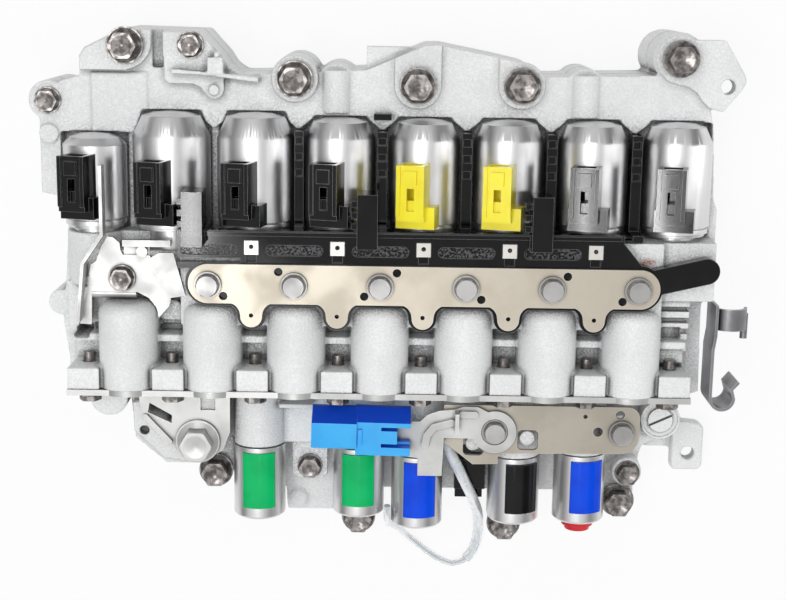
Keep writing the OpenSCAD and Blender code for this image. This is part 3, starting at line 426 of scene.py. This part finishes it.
def cast_aluminium():
    material, tree, shader = start_material("cast_aluminium", Metallic=0.12)
    blotch = effect(tree, "speckle", Scale=45.0, Detail=4.0)
    sand = effect(tree, "speckle", Scale=1300.0, Detail=2.0, Low=0.3, High=0.7)
    hollow_shade_mask = effect(tree, "painted_corner_shade", Distance=0.010, Low=0.25, High=0.9)
    corner_shade_mask = effect(tree, "painted_own_corner_shade", Distance=0.0034, Low=0.55, High=0.95)
    colour = blend(tree, blotch, (0.91, 0.915, 0.92), (0.84, 0.845, 0.85))
    # Sand grain, painted darker the deeper it lies in a hollow: real grain with painted shade.
    grain_and_shade = add(tree, "ShaderNodeMath", {0: sand, 1: spread(tree, hollow_shade_mask, 0.15, 0.85)}, operation="MULTIPLY")
    colour = blend(tree, grain_and_shade.outputs[0], colour, (0.36, 0.365, 0.37))
    # Inner corners of the casting are painted near black: painted shade.
    colour = blend(tree, scaled(tree, corner_shade_mask, 0.9), colour, (0.10, 0.097, 0.094))
    spot = near_point(tree, RUST_AT, RUST_REACH)
    rust = add(tree, "ShaderNodeMath", {0: spot, 1: spread(tree, sand, 0.5, 1.0)}, operation="MULTIPLY")
    colour = blend(tree, rust.outputs[0], colour, (0.36, 0.11, 0.05))
    wire_up(tree, shader, colour, spread(tree, sand, 0.5, 0.72), relief(tree, sand, 0.5, 0.00025))
    return material


# %% Turned and rolled metal
def turned_steel():
    material, tree, shader = start_material("turned_steel", Metallic=1.0)
    lines = effect(tree, "brush_lines", Across=2600.0, Along=25.0, Up=25.0)
    drawn = effect(tree, "brush_lines", Across=12.0, Along=300.0, Up=300.0)
    haze = effect(tree, "speckle", Scale=70.0, Detail=3.0)
    colour = blend(tree, drawn, (0.82, 0.82, 0.83), (0.68, 0.68, 0.69))
    colour = blend(tree, scaled(tree, haze, 0.2), colour, (0.56, 0.55, 0.50))
    wire_up(tree, shader, colour, spread(tree, haze, 0.33, 0.39), relief(tree, lines, 0.04, 0.00003))
    return material


def rolled_steel(name, light, dark, corner_shade_colour, metallic=0.6):
    material, tree, shader = start_material(name, Metallic=metallic)
    cloud = effect(tree, "speckle", Scale=60.0, Detail=5.0)
    fine = effect(tree, "speckle", Scale=2200.0)
    corner_shade_mask = effect(tree, "painted_corner_shade", Distance=0.0022, Low=0.4, High=0.85)
    edge_wear_glint = effect(tree, "wear_and_glint_edges", Radius=0.0005)
    colour = blend(tree, cloud, light, dark)
    # Corners near other pieces take the dark colour: painted shade.
    colour = blend(tree, scaled(tree, corner_shade_mask, 0.92), colour, corner_shade_colour)
    # Edges are painted paler: wear, with a painted glint.
    colour = blend(tree, scaled(tree, edge_wear_glint, 0.5), colour, (0.9, 0.89, 0.87))
    wire_up(tree, shader, colour, spread(tree, cloud, 0.3, 0.46), relief(tree, fine, 0.15, 0.00005))
    return material


def dark_bolts():
    material, tree, shader = start_material("dark_bolts", Metallic=0.9)
    cloud = effect(tree, "speckle", Scale=420.0, Detail=4.0)
    edge_wear_glint = effect(tree, "wear_and_glint_edges", Radius=0.0007, Low=0.01, High=0.16)
    corner_shade_mask = effect(tree, "painted_own_corner_shade", Distance=0.003, Low=0.4, High=0.95)
    colour = blend(tree, cloud, (0.36, 0.335, 0.32), (0.12, 0.112, 0.108))
    # Edges are painted paler: wear, with a painted glint.
    colour = blend(tree, scaled(tree, edge_wear_glint, 0.28), colour, (0.70, 0.66, 0.63))
    # Inner corners of the bolt are painted near black: painted shade.
    colour = blend(tree, scaled(tree, corner_shade_mask, 0.9), colour, (0.02, 0.019, 0.018))
    wire_up(tree, shader, colour, spread(tree, cloud, 0.28, 0.45), relief(tree, cloud, 0.2, 0.00008))
    return material


# %% Plastics
def moulded(name, colour, shade, gloss=0.14, shine=0.25, glint_and_wear=0.15, stipple=None, painted_shade_side=None):
    """Glossy plastic with a fine grain: a low gloss number mirrors sharply, shine is the share that is
    mirrored and the next number is how pale the edges are: wear with a painted glint. stipple is a box,
    low and high corner, where the mould was rough: its specks are bumped and painted grey, a painted
    sheen. The last is a deeper colour painted on slopes that face +Y: painted shade."""
    material, tree, shader = start_material(name, Metallic=0.0, Specular_IOR_Level=shine)
    grain = effect(tree, "speckle", Scale=1800.0)
    cloud = effect(tree, "speckle", Scale=90.0)
    edge_wear_glint = effect(tree, "wear_and_glint_edges", Radius=0.0004)
    paint = blend(tree, cloud, colour, shade)
    bumps = scaled(tree, grain, 0.001)
    # Slopes that face +Y are painted a deeper colour: painted shade, as they face away from the lamps.
    if painted_shade_side:
        facing = add(tree, "ShaderNodeNewGeometry")
        facing = add(tree, "ShaderNodeSeparateXYZ", {0: facing.outputs["Normal"]})
        slope = add(tree, "ShaderNodeMapRange", {"Value": facing.outputs["Y"], "From Min": 0.3,
                                                 "From Max": 0.5})
        paint = blend(tree, slope.outputs[0], paint, painted_shade_side)
    if stipple:
        rough = effect(tree, "speckle", Scale=1100.0, Detail=1.0, Low=0.45, High=0.6)
        rough = add(tree, "ShaderNodeMath", {0: rough, 1: inside_box(tree, *stipple)}, operation="MULTIPLY")
        # Rough specks are painted grey: a painted sheen of the rough mould, beside their real bumps.
        paint = blend(tree, scaled(tree, rough.outputs[0], 0.5), paint, (0.20, 0.20, 0.21))
        bumps = add(tree, "ShaderNodeMath", {0: bumps, 1: rough.outputs[0]}, operation="MAXIMUM").outputs[0]
    # Edges are painted paler: wear, with a painted glint.
    paint = blend(tree, scaled(tree, edge_wear_glint, glint_and_wear), paint, (0.75, 0.75, 0.75))
    wire_up(tree, shader, paint, spread(tree, grain, gloss, gloss + 0.04), relief(tree, bumps, 1.0, 0.0001))
    return material


def clear_sleeve():
    material, tree, shader = start_material("clear_sleeve", Transmission_Weight=0.45, IOR=1.3)
    cloud = effect(tree, "speckle", Scale=260.0)
    colour = blend(tree, cloud, (0.93, 0.96, 0.98), (0.84, 0.89, 0.93))
    wire_up(tree, shader, colour, spread(tree, cloud, 0.2, 0.34), relief(tree, cloud, 0.08, 0.0001))
    return material


BLACK = (0.003, 0.003, 0.004)
BLACK_SHADE = (0.006, 0.006, 0.007)
finish = {
    "cast_aluminium": cast_aluminium(),
    "bright_steel": turned_steel(),
    "warm_steel": rolled_steel("warm_plate", (0.56, 0.51, 0.425), (0.50, 0.45, 0.37), (0.08, 0.07, 0.055)),
    "dark_steel": dark_bolts(),
    "zinc_sheet": rolled_steel("zinc_sheet", (0.60, 0.60, 0.59), (0.49, 0.49, 0.48), (0.08, 0.08, 0.075)),
    "black_plastic": moulded("black_plastic", BLACK, BLACK_SHADE, 0.05, 0.3, 0.4),
    "yellow_plastic": moulded("yellow_plastic", (0.95, 0.85, 0.03), (0.92, 0.78, 0.02)),
    "green_plastic": moulded("green_plastic", (0.003, 0.53, 0.15), (0.002, 0.46, 0.13)),
    "blue_plastic": moulded("blue_plastic", (0.001, 0.075, 0.82), (0.001, 0.060, 0.72)),
    "light_blue_plastic": moulded("light_blue_plastic", (0.045, 0.45, 0.92), (0.035, 0.40, 0.88),
                                  painted_shade_side=(0.008, 0.07, 0.62)),
    "red_plastic": moulded("red_plastic", (0.72, 0.05, 0.06), (0.60, 0.03, 0.04)),
    "clear_sleeve": clear_sleeve(),
    "contact_metal": rolled_steel("contact_metal", (0.72, 0.70, 0.66), (0.60, 0.58, 0.53), (0.1, 0.09, 0.07)),
    "spring_steel": rolled_steel("spring_steel", (0.30, 0.30, 0.31), (0.20, 0.20, 0.21),
                                 (0.03, 0.03, 0.03), 0.8),
}
own_finish = {
    # The lower plate is painted darker than the warm plate: painted shade, for lying lower and more in
    # shadow.
    "lower_plate": rolled_steel("lower_plate", (0.47, 0.435, 0.37), (0.41, 0.375, 0.315),
                                (0.06, 0.055, 0.045)),
    "plate_bolts": rolled_steel("plate_bolts", (0.46, 0.455, 0.45), (0.32, 0.315, 0.31),
                                (0.02, 0.02, 0.02), 0.7),
    "harness_frame": moulded("stippled_black", BLACK, BLACK_SHADE, 0.06, 0.25, 0.3,
                             stipple=((-0.11, 0.0205, 0.0645), (0.11, 0.0247, 0.0656))),
}
print(len(finish) + len(own_finish), "finishes")

# %% [markdown]
# ## Painting the solids
# The record says which finish each solid takes. Its sharp edges are broken by modifiers: the loose
# triangles are welded, flat faces are joined, and a small bevel runs along every edge. That leaves the
# solid's own mesh as it came.

# %% Paint and bevel
EDGE = {"black_plastic": 0.4, "yellow_plastic": 0.4, "light_blue_plastic": 0.5, "dark_steel": 0.25}
EDGE_PLAIN = 0.25
WELD = 0.005 * MM


def break_edges(piece, width):
    """Welds the triangles, joins flat faces, bevels edges sharper than 30 degrees and evens the shading."""
    weld = piece.modifiers.new("weld", "WELD")
    weld.merge_threshold = WELD
    flat = piece.modifiers.new("flat", "DECIMATE")
    flat.decimate_type = "DISSOLVE"
    flat.angle_limit = math.radians(0.5)
    edge = piece.modifiers.new("edge", "BEVEL")
    edge.width = width
    edge.segments = 2
    edge.limit_method = "ANGLE"
    edge.angle_limit = math.radians(30)
    even = piece.modifiers.new("even", "WEIGHTED_NORMAL")
    even.keep_sharp = True


def paint(piece, slot):
    """Gives a piece its own finish if it has one, and otherwise the finish of that slot."""
    piece.data.materials.clear()
    piece.data.materials.append(own_finish.get(piece.name, finish[slot]))


slot_of = {row["node"]: row["material_slot"] for row in frame["record"]["subparts"]}
CAST = ("upper_valve_body", "lower_valve_body")
SHARP = ("bore_plug", "sensor_lead", *CAST)
for name, slot in slot_of.items():
    paint(nodes[name], slot)
    if name not in SHARP and not name.startswith("accumulator_spring"):
        break_edges(nodes[name], EDGE.get(slot, EDGE_PLAIN) * MM)
paint(lead, "clear_sleeve")
paint(sleeve, "clear_sleeve")
paint(wire, "contact_metal")
print("painted", len(slot_of), "solids")

# %% [markdown]
# ## Cast skins
# A casting has no sharp edge: sand rounds every corner and fills every inner one. A bevel can't follow
# so many crossing cuts, so each casting is filled with small cubes and wrapped again, which gives an
# even skin, and the skin is smoothed a few times. Flat faces stay where they were and edges turn round.


# %% Cast skins
def cast_skin(name, voxel, rounds, triangles):
    """Skin of a solid: wrapped at the size of a small cube, each point then moved half way to the middle
    of its neighbours that many times, and thinned to about that many triangles."""
    copy = bpy.data.objects.new(name + "_skin", nodes[name].data.copy())
    bpy.context.scene.collection.objects.link(copy)
    weld = copy.modifiers.new("weld", "WELD")
    weld.merge_threshold = WELD
    wrap = copy.modifiers.new("wrap", "REMESH")
    wrap.mode = "VOXEL"
    wrap.voxel_size = voxel
    even = copy.modifiers.new("even", "SMOOTH")
    even.factor = 0.5
    even.iterations = rounds
    depsgraph = bpy.context.evaluated_depsgraph_get()
    count = 2 * len(copy.evaluated_get(depsgraph).data.polygons)
    thin = copy.modifiers.new("thin", "DECIMATE")
    thin.ratio = min(1.0, triangles / count)
    depsgraph = bpy.context.evaluated_depsgraph_get()
    mesh = bpy.data.meshes.new_from_object(copy.evaluated_get(depsgraph))
    mesh.name = name + "_skin"
    mesh.polygons.foreach_set("use_smooth", np.ones(len(mesh.polygons), bool))
    copy.modifiers.clear()
    copy.data = mesh
    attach(copy, "valve_body")
    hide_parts(name)
    paint(copy, "cast_aluminium")
    print(copy.name, count, "to", len(mesh.polygons), "triangles")


cast_skin("upper_valve_body", 0.5 * MM, 2, 195000)
cast_skin("lower_valve_body", 0.8 * MM, 4, 120000)

# %% [markdown]
# ## Accumulator springs
# Behind each piston sits a coil spring between the piston's floor and the cover. It could stay the plain
# solid, but it is wound again as a round wire along a helix, in the solid's place.

# %% Springs
SPRING_TURNS = 5
SPRING_WIRE = 0.7 * MM


def wind_spring(number):
    """Round wire along a helix: the angle grows evenly from the cover's end to the piston's end."""
    low, high = (np.array(corner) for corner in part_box(f"accumulator_spring_{number}"))
    coil_r = (high[0] - low[0]) / 2 - SPRING_WIRE
    middle = (low + high) / 2
    share = np.linspace(0, 1, 24 * SPRING_TURNS + 1)
    angle = 2 * np.pi * SPRING_TURNS * share
    y = low[1] + SPRING_WIRE + share * (high[1] - low[1] - 2 * SPRING_WIRE)
    path = np.stack([middle[0] + coil_r * np.cos(angle), y, middle[2] + coil_r * np.sin(angle)], axis=1)
    spring = grid_object(f"spring_coil_{number}", tube_points(path, SPRING_WIRE, 8))
    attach(spring, "valve_body")
    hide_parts(f"accumulator_spring_{number}")
    paint(spring, "spring_steel")
    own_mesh(spring)
    return spring


springs = [wind_spring(i + 1) for i in range(7)]
print(len(springs), "springs")
